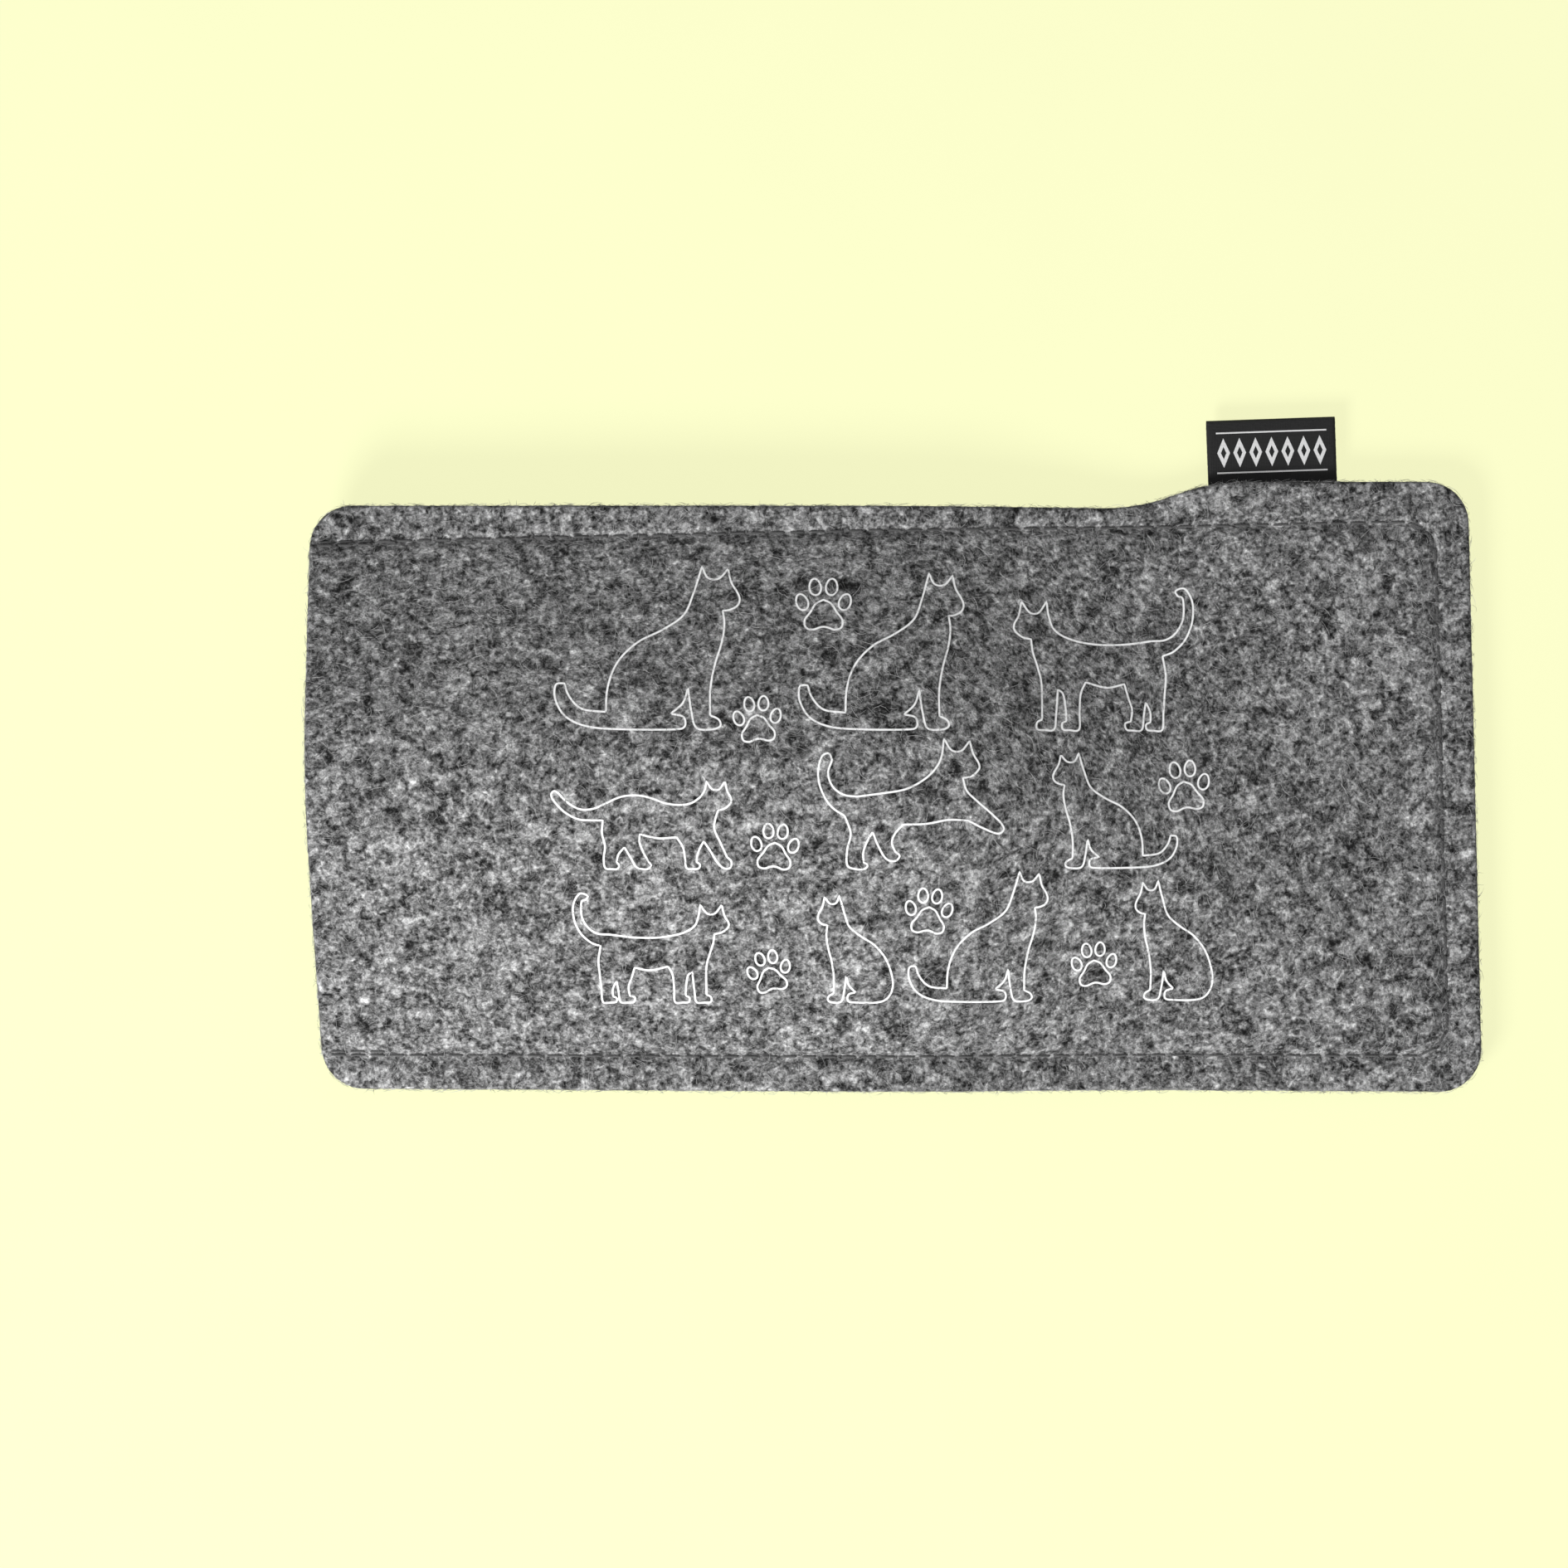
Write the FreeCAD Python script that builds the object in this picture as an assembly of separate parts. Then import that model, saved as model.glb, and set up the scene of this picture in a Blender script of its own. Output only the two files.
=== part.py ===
"""Soft pouch for folded glasses: two felt panels sewn together on three sides, open at the mouth.

Frame, in millimetres: +X runs from the open mouth to the closed end, +Y across the pouch towards the
side that carries the label, +Z up. The pouch lies on its back panel at Z = 0, and the origin is on that
rest face, under the middle of the pouch.
"""

import FreeCAD, Part
import os
from math import atan2, cos, degrees, hypot, pi, sin

V = FreeCAD.Vector

# ---------------------------------------------------------------- driving dimensions
LENGTH = 179.1  # mouth edge to closed end, along the middle of the pouch
MOUTH_X = -88.4  # mouth edge where it crosses Y = 0
LEAN = 0.024  # how far the two ends lean back in X, per millimetre of Y
FELT = 2.5  # thickness of the felt
PLY_GAP = 0.1  # left between the two felt edges that the seam presses together
CORNER_R = 6.5  # the die-cut corners

BOTTOM_EDGE_MOUTH_Y, BOTTOM_EDGE_END_Y = -44.4, -45.5
TOP_EDGE_Y = 45.0  # beside the bulge, which draws the side in
TOP_EDGE_FLAT_Y = 49.2  # beside the flat end
STEP_START_X, STEP_END_X = 32.0, 56.0  # where the side widens from one to the other

BOTTOM_SEAM_MOUTH_Y, BOTTOM_SEAM_END_Y = -39.2, -39.9
TOP_SEAM_MOUTH_Y, TOP_SEAM_END_Y = 39.3, 43.1
END_SEAM_INSET = 5.2
SEAM_CORNER_R = 5.0

SEAM_Z = 9.5  # height of the seam beside the bulge
SEAM_FLAT_Z = 2.8  # and at the flat end, which lies on the table
DROP_START_X, DROP_END_X = -6.0, 47.0
FRONT_BULGE = 12.8  # inside height of the front panel over the seam
BULGE_START_X, BULGE_END_X = 0.0, 84.0  # where the bulge runs out
LOOSE_GAP = 1.0  # inside height that the empty end keeps
RIDGE_ROUND = 0.25  # how round the front's ridge is, as a share of its flank: 0 would be a tent
RIDGE_Y = 3.0  # where the ridge runs, beside the mouth
RIDGE_TURN_X = 14.0  # where it turns towards the bottom corner of the closed end
RIDGE_TURN_SIZE = 12.0
RIDGE_DRIFT = 0.47  # how far it then moves in Y per millimetre of X
FLANK_LEAST = 9.0  # the narrowest that a flank of the bulge gets
REST_DEPTH = 0.5  # how deep the round of the back panel is pressed flat on the table

THREAD_R = 0.22
STITCH = 3.0  # length of one stitch
STITCH_BEND_R = 0.4
STITCH_SINK = 0.1  # how deep a stitch pulls into the felt
HOLE_SIDE = 0.25  # each of the two thread ends in a needle hole, from its middle
BACKTACK_STITCHES = 3  # sewn back over the seam at each side of the mouth
BACKTACK_SHIFT = 0.55

LABEL_W = 20.0
LABEL_PROUD = 10.0  # how far the folded label stands out of the felt
LABEL_X = 59.5  # its middle
LABEL_TURN = 2.0  # degrees that it is sewn in askew
LABEL_PLY = 0.35
LABEL_THICK = 1.0  # both plies and the air between them
LABEL_IN = 8.0  # how far its cut ends reach in from the felt's edge
LABEL_BEND_Y = 0.8  # the line that the label tips about, out from the felt's edge

NET_X, NET_Y = 104.0, 56.0  # half the size of the net that carries the felt surfaces
POLES_X, POLES_Y = 27, 31  # its control points each way


# ---------------------------------------------------------------- the pouch's shape as functions
def smooth(value, start, end):
    """0 before start, 1 after end, and a smooth step between them."""
    t = min(max((value - start) / (end - start), 0.0), 1.0)
    return t * t * (3.0 - 2.0 * t)


def along(x, at_mouth, at_end):
    """A value that changes evenly from the mouth to the closed end."""
    return at_mouth + (at_end - at_mouth) * (x - MOUTH_X) / LENGTH


def mouth_x(y):
    return MOUTH_X - LEAN * y


def end_x(y):
    return MOUTH_X + LENGTH - LEAN * y


def top_seam_y(x):
    return along(x, TOP_SEAM_MOUTH_Y, TOP_SEAM_END_Y)


def bottom_seam_y(x):
    return along(x, BOTTOM_SEAM_MOUTH_Y, BOTTOM_SEAM_END_Y)


def seam_z(x):
    return SEAM_Z + (SEAM_FLAT_Z - SEAM_Z) * smooth(x, DROP_START_X, DROP_END_X)


def across(x, y):
    """0 along the middle of the pocket, 1 on its side seams and more outside them."""
    top, bottom = top_seam_y(x), bottom_seam_y(x)
    return abs(2.0 * y - top - bottom) / (top - bottom)


def inside_end(x, y):
    """1 over the pocket, running out to 0 at the end seam and beyond it."""
    return smooth(end_x(y) - END_SEAM_INSET - x, 0.0, 16.0)


def ridge_y(x):
    """The line along the top of the front's bulge: straight from the mouth, then across to a corner."""
    past_turn = x - RIDGE_TURN_X
    drift = RIDGE_DRIFT * (past_turn + hypot(past_turn, RIDGE_TURN_SIZE)) / 2.0
    return max(RIDGE_Y - drift, bottom_seam_y(x) + FLANK_LEAST)


def front_bulge(x, y):
    """Two flat slopes that meet in a round ridge, and run out towards the closed end."""
    height = FRONT_BULGE + (LOOSE_GAP - FRONT_BULGE) * smooth(x, BULGE_START_X, BULGE_END_X)
    ridge = ridge_y(x)
    flank = top_seam_y(x) - ridge if y > ridge else ridge - bottom_seam_y(x)
    down_flank = abs(y - ridge) / flank
    fall = hypot(down_flank, RIDGE_ROUND) - RIDGE_ROUND
    whole_fall = hypot(1.0, RIDGE_ROUND) - RIDGE_ROUND
    return height * max(1.0 - fall / whole_fall, 0.0) * inside_end(x, y)


def back_bulge(x, y):
    """A flat bottom with rounded sides, a little deeper than the table lets it be."""
    depth = seam_z(x) - PLY_GAP / 2.0 - FELT + REST_DEPTH
    return depth * max(1.0 - across(x, y) ** 2.6, 0.0) * inside_end(x, y)


# ---------------------------------------------------------------- felt panels
def felt_surface(height):
    """A smooth surface over the whole net whose control points stand at height(x, y)."""
    xs = [-NET_X + 2.0 * NET_X * i / (POLES_X - 1) for i in range(POLES_X)]
    ys = [-NET_Y + 2.0 * NET_Y * j / (POLES_Y - 1) for j in range(POLES_Y)]
    poles = [[V(x, y, height(x, y)) for y in ys] for x in xs]
    surface = Part.BSplineSurface()
    x_knots, y_knots = range(POLES_X - 2), range(POLES_Y - 2)
    x_mults = [4] + [1] * (POLES_X - 4) + [4]
    y_mults = [4] + [1] * (POLES_Y - 4) + [4]
    surface.buildFromPolesMultsKnots(
        poles, x_mults, y_mults, list(x_knots), list(y_knots), False, False, 3, 3
    )
    return surface


def corner_arc(before, corner, after, radius):
    """The tangent arc that rounds one corner of a path, as its two end points and the arc itself."""
    to_before = (before - corner).normalize()
    to_after = (after - corner).normalize()
    half = to_before.getAngle(to_after) / 2.0
    reach = radius * cos(half) / sin(half)
    start, end = corner + to_before * reach, corner + to_after * reach
    middle_way = (to_before + to_after).normalize()
    middle = corner + middle_way * (radius / sin(half) - radius)
    return start, end, Part.Arc(start, middle, end).toShape()


def outline_face():
    """The plan outline of both panels: four rounded corners and the step beside the label."""
    mouth_bottom = V(mouth_x(BOTTOM_EDGE_MOUTH_Y), BOTTOM_EDGE_MOUTH_Y, 0)
    end_bottom = V(end_x(BOTTOM_EDGE_END_Y), BOTTOM_EDGE_END_Y, 0)
    end_top = V(end_x(TOP_EDGE_FLAT_Y), TOP_EDGE_FLAT_Y, 0)
    mouth_top = V(mouth_x(TOP_EDGE_Y), TOP_EDGE_Y, 0)
    step_high, step_low = V(STEP_END_X, TOP_EDGE_FLAT_Y, 0), V(STEP_START_X, TOP_EDGE_Y, 0)
    middle_x = (STEP_START_X + STEP_END_X) / 2.0
    step = Part.BezierCurve()
    step.setPoles([step_high, V(middle_x, TOP_EDGE_FLAT_Y, 0), V(middle_x, TOP_EDGE_Y, 0), step_low])

    mouth_low = corner_arc(mouth_top, mouth_bottom, end_bottom, CORNER_R)
    end_low = corner_arc(mouth_bottom, end_bottom, end_top, CORNER_R)
    end_high = corner_arc(end_bottom, end_top, step_high, CORNER_R)
    mouth_high = corner_arc(step_low, mouth_top, mouth_bottom, CORNER_R)
    edges = [
        mouth_low[2],
        Part.makeLine(mouth_low[1], end_low[0]),
        end_low[2],
        Part.makeLine(end_low[1], end_high[0]),
        end_high[2],
        Part.makeLine(end_high[1], step_high),
        step.toShape(),
        Part.makeLine(step_low, mouth_high[0]),
        mouth_high[2],
        Part.makeLine(mouth_high[1], mouth_low[0]),
    ]
    return Part.Face(Part.Wire(edges))


def felt_panel(lower, upper):
    """The felt between two surfaces, cut to the outline. Anything under the table is pressed flat."""
    bottom, top = lower.toShape(), upper.toShape()
    sides = [Part.makeRuledSurface(low, high) for low, high in zip(bottom.Edges, top.Edges)]
    block = Part.Solid(Part.Shell([bottom, top] + sides))
    return block.common(outline_face().extrude(V(0, 0, 60))).Solids[0]


# ---------------------------------------------------------------- seam
def seam_points():
    """Plan points one stitch apart: along the top side, round the closed end, back along the bottom."""
    first_hole = 1.0  # from the mouth edge
    top_start = V(mouth_x(TOP_SEAM_MOUTH_Y) + first_hole, TOP_SEAM_MOUTH_Y, 0)
    top_end = V(end_x(TOP_SEAM_END_Y) - END_SEAM_INSET, TOP_SEAM_END_Y, 0)
    bottom_end = V(end_x(BOTTOM_SEAM_END_Y) - END_SEAM_INSET, BOTTOM_SEAM_END_Y, 0)
    bottom_start = V(mouth_x(BOTTOM_SEAM_MOUTH_Y) + first_hole, BOTTOM_SEAM_MOUTH_Y, 0)
    top_turn = corner_arc(top_start, top_end, bottom_end, SEAM_CORNER_R)
    bottom_turn = corner_arc(top_end, bottom_end, bottom_start, SEAM_CORNER_R)
    path = Part.Wire([
        Part.makeLine(top_start, top_turn[0]),
        top_turn[2],
        Part.makeLine(top_turn[1], bottom_turn[0]),
        bottom_turn[2],
        Part.makeLine(bottom_turn[1], bottom_start),
    ])
    return path.discretize(Number=round(path.Length / STITCH) + 1)


def on_surface(surface, point):
    """The surface's point straight above or below a plan point."""
    found = V(point.x, point.y, seam_z(point.x))
    for _ in range(4):
        u, v = surface.parameter(found)
        found = V(point.x, point.y, surface.value(u, v).z)
    return found


def stitch_solid(length):
    """One stitch along +X: it lies on the felt and turns down at both ends to the inner face."""
    near, far, depth = HOLE_SIDE, length - HOLE_SIDE, FELT - STITCH_SINK
    r = STITCH_BEND_R
    turn = r * (1.0 - cos(pi / 4.0))
    path = Part.Wire([
        Part.makeLine(V(near, 0, -depth), V(near, 0, -r)),
        Part.Arc(V(near, 0, -r), V(near + turn, 0, -turn), V(near + r, 0, 0)).toShape(),
        Part.makeLine(V(near + r, 0, 0), V(far - r, 0, 0)),
        Part.Arc(V(far - r, 0, 0), V(far - turn, 0, -turn), V(far, 0, -r)).toShape(),
        Part.makeLine(V(far, 0, -r), V(far, 0, -depth)),
    ])
    section = Part.Wire([Part.makeCircle(THREAD_R, V(near, 0, -depth), V(0, 0, 1))])
    return path.makePipeShell([section], True, True)


def seam_runs():
    """The two holes of every stitch: the whole seam, then the backtacks just inside it."""
    holes = seam_points()
    runs = list(zip(holes[:-1], holes[1:]))
    shift = V(0, BACKTACK_SHIFT, 0)
    at_top = [(a - shift, b - shift) for a, b in runs[:BACKTACK_STITCHES]]
    at_bottom = [(a + shift, b + shift) for a, b in runs[-BACKTACK_STITCHES:]]
    return runs + at_top + at_bottom


def seam_thread(surface, side):
    """The thread that shows on one face: side is 1 on the front panel and -1 on the back panel."""
    stitches = []
    for a, b in seam_runs():
        start, end = on_surface(surface, a), on_surface(surface, b)
        run = end - start
        solid = stitch_solid(run.Length)
        if side < 0:
            solid.rotate(V(0, 0, 0), V(1, 0, 0), 180)
        solid.rotate(V(0, 0, 0), V(0, 1, 0), -degrees(atan2(run.z, hypot(run.x, run.y))))
        solid.rotate(V(0, 0, 0), V(0, 0, 1), degrees(atan2(run.y, run.x)))
        solid.translate(start - V(0, 0, side * STITCH_SINK))
        stitches.append(solid)
    return Part.makeCompound(stitches)


# ---------------------------------------------------------------- label
def place_label(shape):
    """From the label's own frame, where Y = 0 is the felt's edge, to its place in the seam."""
    shape.rotate(V(0, 0, 0), V(0, 0, 1), LABEL_TURN)
    shape.translate(V(LABEL_X, TOP_EDGE_FLAT_Y, SEAM_FLAT_Z))
    return shape


def label_loop():
    """The free fold of the woven label: two plies joined round the fold at its outer edge."""
    half, inner = LABEL_THICK / 2.0, LABEL_THICK / 2.0 - LABEL_PLY
    root, centre = LABEL_BEND_Y, LABEL_PROUD - half

    def half_round(r):
        return Part.Arc(V(0, centre, r), V(0, centre + r, 0), V(0, centre, -r)).toShape()

    profile = Part.Wire([
        Part.makeLine(V(0, root, half), V(0, centre, half)),
        half_round(half),
        Part.makeLine(V(0, centre, -half), V(0, root, -half)),
        Part.makeLine(V(0, root, -half), V(0, root, -inner)),
        Part.makeLine(V(0, root, -inner), V(0, centre, -inner)),
        half_round(inner),
        Part.makeLine(V(0, centre, inner), V(0, root, inner)),
        Part.makeLine(V(0, root, inner), V(0, root, half)),
    ])
    loop = Part.Face(profile).extrude(V(LABEL_W, 0, 0))
    loop.translate(V(-LABEL_W / 2.0, 0, 0))
    return place_label(loop)


def label_tails():
    """The label's two cut ends, one on the other, held between the panels by the seam."""
    plies = [
        Part.makeBox(LABEL_W, LABEL_IN, LABEL_PLY, V(-LABEL_W / 2.0, -LABEL_IN, low))
        for low in (0.01, -0.01 - LABEL_PLY)
    ]
    return place_label(Part.makeCompound(plies))


# ---------------------------------------------------------------- the whole pouch
def main():
    front_inside = felt_surface(lambda x, y: seam_z(x) + PLY_GAP / 2.0 + front_bulge(x, y))
    front_outside = felt_surface(lambda x, y: seam_z(x) + PLY_GAP / 2.0 + front_bulge(x, y) + FELT)
    back_inside = felt_surface(lambda x, y: seam_z(x) - PLY_GAP / 2.0 - back_bulge(x, y))
    back_outside = felt_surface(lambda x, y: seam_z(x) - PLY_GAP / 2.0 - back_bulge(x, y) - FELT)

    nodes = {
        "front_panel": felt_panel(front_inside, front_outside),
        "back_panel": felt_panel(back_outside, back_inside),
        "needle_thread": seam_thread(front_outside, 1),
        "bobbin_thread": seam_thread(back_outside, -1),
        "label_loop": label_loop(),
        "label_tails": label_tails(),
    }
    os.makedirs("parts", exist_ok=True)
    for name, shape in nodes.items():
        print(f"{name}: {len(shape.Solids)} solids, {shape.Volume:.1f} mm3, valid {shape.isValid()}")
        shape.exportStep(f"parts/{name}.step")


main()
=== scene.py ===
from math import atan2, cos, exp, pi, radians, sin

import bpy
import numpy as np
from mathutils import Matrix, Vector, noise
from mathutils.bvhtree import BVHTree
from mathutils.geometry import delaunay_2d_cdt
from mathutils.kdtree import KDTree


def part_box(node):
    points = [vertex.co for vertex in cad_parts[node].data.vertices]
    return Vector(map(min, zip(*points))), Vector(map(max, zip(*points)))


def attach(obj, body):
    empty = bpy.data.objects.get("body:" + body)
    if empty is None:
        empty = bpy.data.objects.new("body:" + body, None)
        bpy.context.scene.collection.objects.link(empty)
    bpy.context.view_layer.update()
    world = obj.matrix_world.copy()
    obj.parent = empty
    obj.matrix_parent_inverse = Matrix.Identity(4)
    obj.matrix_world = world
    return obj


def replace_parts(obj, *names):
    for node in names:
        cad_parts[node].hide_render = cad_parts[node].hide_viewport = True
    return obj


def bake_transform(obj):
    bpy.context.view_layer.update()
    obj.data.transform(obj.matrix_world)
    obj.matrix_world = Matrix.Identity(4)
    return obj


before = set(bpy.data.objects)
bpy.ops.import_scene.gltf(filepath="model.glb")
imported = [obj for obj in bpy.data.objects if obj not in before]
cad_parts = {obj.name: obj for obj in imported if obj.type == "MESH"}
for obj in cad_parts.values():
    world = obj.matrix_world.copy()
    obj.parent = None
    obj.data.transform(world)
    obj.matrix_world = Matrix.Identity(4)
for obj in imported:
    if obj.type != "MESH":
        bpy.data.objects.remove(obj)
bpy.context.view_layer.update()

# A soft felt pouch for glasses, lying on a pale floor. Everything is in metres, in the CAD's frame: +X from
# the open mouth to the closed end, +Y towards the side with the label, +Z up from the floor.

MM = 0.001

# -------- driving dimensions
MOUTH_X, END_X = -88.4 * MM, 90.7 * MM  # where the pouch's ends cross Y = 0
LEAN = 0.024  # how far both ends lean back in X, per metre of Y
SEAM_TOP_Y = (39.3 * MM, 43.1 * MM)  # the side seams, at the mouth and at the closed end
SEAM_BOTTOM_Y = (-39.2 * MM, -39.9 * MM)
END_SEAM_INSET = 5.2 * MM
SEAM_CORNER_R = 5.0 * MM
FIRST_HOLE = 1.0 * MM  # the seam's first needle hole, from the mouth edge
STITCH = 3.0 * MM
BACKTACK_STITCHES = 3
BACKTACK_SHIFT = 0.55 * MM

GROOVE_DEPTH, GROOVE_WIDTH = 0.74 * MM, 0.85 * MM  # the seam pulled into the felt
HOLE_DEPTH, HOLE_WIDTH = 0.32 * MM, 0.42 * MM
EDGE_ROUND, INNER_EDGE_ROUND = 0.55 * MM, 0.3 * MM  # the cut edges, worn a little round
LUMPS = ((0.11, 6.0), (0.055, 2.2), (0.035, 1.1))  # depth and size in mm of the fibre mat's lumps
DENT_DEPTH, DENT_SIZE = 0.28 * MM, 19.0  # broad dents of a soft thing that has been handled; the size in mm
EDGE_WAVES = ((0.07 * MM, 0.9 * MM), (0.05 * MM, 3.5 * MM))  # depth and length of the cut edge's waves
FELT_STEP, PLAIN_STEP = 0.72 * MM, 1.5 * MM  # between the points of an outer and an inner felt face

STRANDS = 3  # in a sewing thread
STRAND_R, STRAND_OFFSET = 0.115 * MM, 0.12 * MM
STRAND_PITCH = 1.5 * MM
STITCH_PROUD = 0.12 * MM  # a thread's middle above the groove's bottom
STITCH_CLEAR = 0.3 * MM  # a thread's middle above the floor, at least
STITCH_DIVE, DIVE_SHARE = 0.75 * MM, 0.09  # how deep a stitch's ends go, and over what share of its length
STITCH_GAP = 0.2 * MM  # from a hole's middle to the end of each stitch
STITCH_WANDER = 0.035 * MM

LABEL_W = 20.0 * MM
LABEL_PROUD = 10.0 * MM  # from the felt's edge to the fold
LABEL_IN = 8.0 * MM  # from the felt's edge to the cut ends, between the panels
LABEL_TURN = radians(2.0)
LABEL_PLY = 0.28 * MM
LABEL_SPREAD = 0.36 * MM  # each ply's middle from the label's own mid plane, at the fold
LABEL_MID = Vector((59.5 * MM, 49.2 * MM, 2.8 * MM))  # on the felt's edge, between the panels

INK_WIDTH = 0.30 * MM
INK_PROUD, INK_DEEP = 0.035 * MM, 0.12 * MM
INK_STEP = 0.3 * MM  # between the points of a printed line

FIBRE_R = 0.024 * MM
FIBRE_SUNK = 0.02 * MM  # a fibre's ends below the felt's surface
FIBRE_GREYS = {"light": 0.5, "mid": 0.2, "dark": 0.04}
FIBRE_SHARES = (0.4, 0.35, 0.25)  # how many are light, middle and dark

FELT_GREY = 0.150  # how much light the felt's middle tone gives back
# the cut edge's felt is the same felt made 8% darker: painted shade on the panels' cut sides
CUT_SHADED_GREY = FELT_GREY * 0.92
PALE_YELLOW = (0.982, 1.0, 0.610)
FLOOR_GLOW = 0.85
FLOOR_HALF, FLOOR_Z = 3.0, -0.1 * MM


# -------- small tools
def smooth(value, start, end):
    """0 up to start, 1 from end on, and an even S curve between them."""
    t = np.clip((value - start) / (end - start), 0.0, 1.0)
    return t * t * (3.0 - 2.0 * t)


def tree_of(points):
    """A search tree of plan points."""
    tree = KDTree(len(points))
    for i, (x, y) in enumerate(points):
        tree.insert((x, y, 0.0), i)
    tree.balance()
    return tree


def distances(tree, points):
    """How far each plan point is from the nearest point in the tree."""
    return np.array([tree.find((x, y, 0.0))[2] for x, y in points])


def arc_lengths(points):
    """How far along its path each point is."""
    return np.concatenate([[0.0], np.cumsum(np.linalg.norm(np.diff(points, axis=0), axis=1))])


def spread_along(points, wanted):
    """Points at the wanted distances along a path."""
    at = arc_lengths(points)
    return np.stack([np.interp(wanted, at, points[:, k]) for k in range(points.shape[1])], axis=1)


def resampled(points, spacing):
    """A closed plan loop with its points evenly spaced."""
    loop = np.vstack([points, points[:1]])
    length = arc_lengths(loop)[-1]
    count = max(int(round(length / spacing)), 3)
    return spread_along(loop, np.linspace(0, length, count, endpoint=False))


def offset(points, distance, closed):
    """The loop or path moved to its left by distance."""
    if closed:
        along = np.roll(points, -1, axis=0) - np.roll(points, 1, axis=0)
    else:
        along = np.gradient(points, axis=0)
    along = along / np.linalg.norm(along, axis=1)[:, None]
    return points + distance * np.stack([-along[:, 1], along[:, 0]], axis=1)


def inside_loop(points, loop):
    """Which points lie inside a closed plan loop."""
    x, y = points[:, 0], points[:, 1]
    inside = np.zeros(len(points), bool)
    for (ax, ay), (bx, by) in zip(loop, np.roll(loop, -1, axis=0)):
        if ay != by:
            crosses = (ay > y) != (by > y)
            inside ^= crosses & (x < (bx - ax) * (y - ay) / (by - ay) + ax)
    return inside


def mesh_object(name, verts, faces, materials, smooth_shaded=True):
    """A named mesh object, linked to the scene."""
    mesh = bpy.data.meshes.new(name)
    mesh.from_pydata(np.asarray(verts, float).tolist(), [], [tuple(int(i) for i in f) for f in faces])
    for material in materials:
        mesh.materials.append(material)
    if smooth_shaded:
        mesh.shade_smooth()
    made = bpy.data.objects.new(name, mesh)
    bpy.context.scene.collection.objects.link(made)
    return made


# -------- reading the CAD panels
GRID = 1.0 * MM
GRID_MARGIN = 4  # cells round the panel, for the spline
RAY_START = 10 * MM  # above the panel
BELOW_SKIN = 0.2  # mm under the upper face, where the ray to the lower face starts
EDGE_NORMAL_Z = 0.02  # the faces round a panel's edge lean less than this


def filled(heights):
    """The grid with every missing height set to the mean of its known neighbours, working outwards."""
    heights = heights.copy()
    while np.isnan(heights).any():
        padded = np.pad(heights, 1, constant_values=np.nan)
        near = np.stack([
            padded[1 + i:padded.shape[0] - 1 + i, 1 + j:padded.shape[1] - 1 + j]
            for i in (-1, 0, 1) for j in (-1, 0, 1) if (i, j) != (0, 0)
        ])
        known = ~np.isnan(near)
        count = known.sum(0)
        mean = np.where(known, near, 0.0).sum(0) / np.maximum(count, 1)
        missing = np.isnan(heights) & (count > 0)
        heights[missing] = mean[missing]
    return heights


class PanelHeights:
    """The upper and lower height of a CAD panel at any plan point, smooth between grid points."""

    def __init__(self, node):
        low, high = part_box(node)
        self.x0, self.y0 = low.x - GRID_MARGIN * GRID, low.y - GRID_MARGIN * GRID
        columns = int((high.x - low.x) / GRID) + 2 * GRID_MARGIN + 1
        rows = int((high.y - low.y) / GRID) + 2 * GRID_MARGIN + 1
        upper = np.full((columns, rows), np.nan)
        lower = np.full((columns, rows), np.nan)
        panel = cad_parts[node]
        down = Vector((0, 0, -1))
        for i in range(columns):
            for j in range(rows):
                above = Vector((self.x0 + i * GRID, self.y0 + j * GRID, high.z + RAY_START))
                hit, top, _, _ = panel.ray_cast(above, down)
                if hit:
                    hit, bottom, _, _ = panel.ray_cast(top + down * BELOW_SKIN * MM, down)
                if hit:
                    upper[i, j], lower[i, j] = top.z, bottom.z
        self.upper, self.lower = filled(upper), filled(lower)

    def at(self, grid, x, y):
        """Cubic B-spline through the grid's heights."""
        u, v = (np.asarray(x) - self.x0) / GRID, (np.asarray(y) - self.y0) / GRID
        i = np.clip(np.floor(u).astype(int), 1, grid.shape[0] - 3)
        j = np.clip(np.floor(v).astype(int), 1, grid.shape[1] - 3)

        def weights(t):
            return (
                (1 - t) ** 3 / 6,
                (3 * t**3 - 6 * t**2 + 4) / 6,
                (-3 * t**3 + 3 * t**2 + 3 * t + 1) / 6,
                t**3 / 6,
            )

        total = 0.0
        for a, wa in enumerate(weights(u - i)):
            for b, wb in enumerate(weights(v - j)):
                total = total + wa * wb * grid[i + a - 1, j + b - 1]
        return total


def panel_outline(node, spacing):
    """The panel's cut outline, anticlockwise, from the vertices of the upright faces round its edge."""
    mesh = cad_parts[node].data
    rim = {v for face in mesh.polygons if abs(face.normal.z) < EDGE_NORMAL_Z for v in face.vertices}
    plan = {(round(mesh.vertices[v].co.x, 6), round(mesh.vertices[v].co.y, 6)) for v in rim}
    return resampled(np.array(sorted(plan, key=lambda p: atan2(p[1], p[0]))), spacing)


# -------- the seam in plan
CORNER_POINTS = 24


def mouth_x(y):
    return MOUTH_X - LEAN * y


def end_x(y):
    return END_X - LEAN * y


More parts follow.
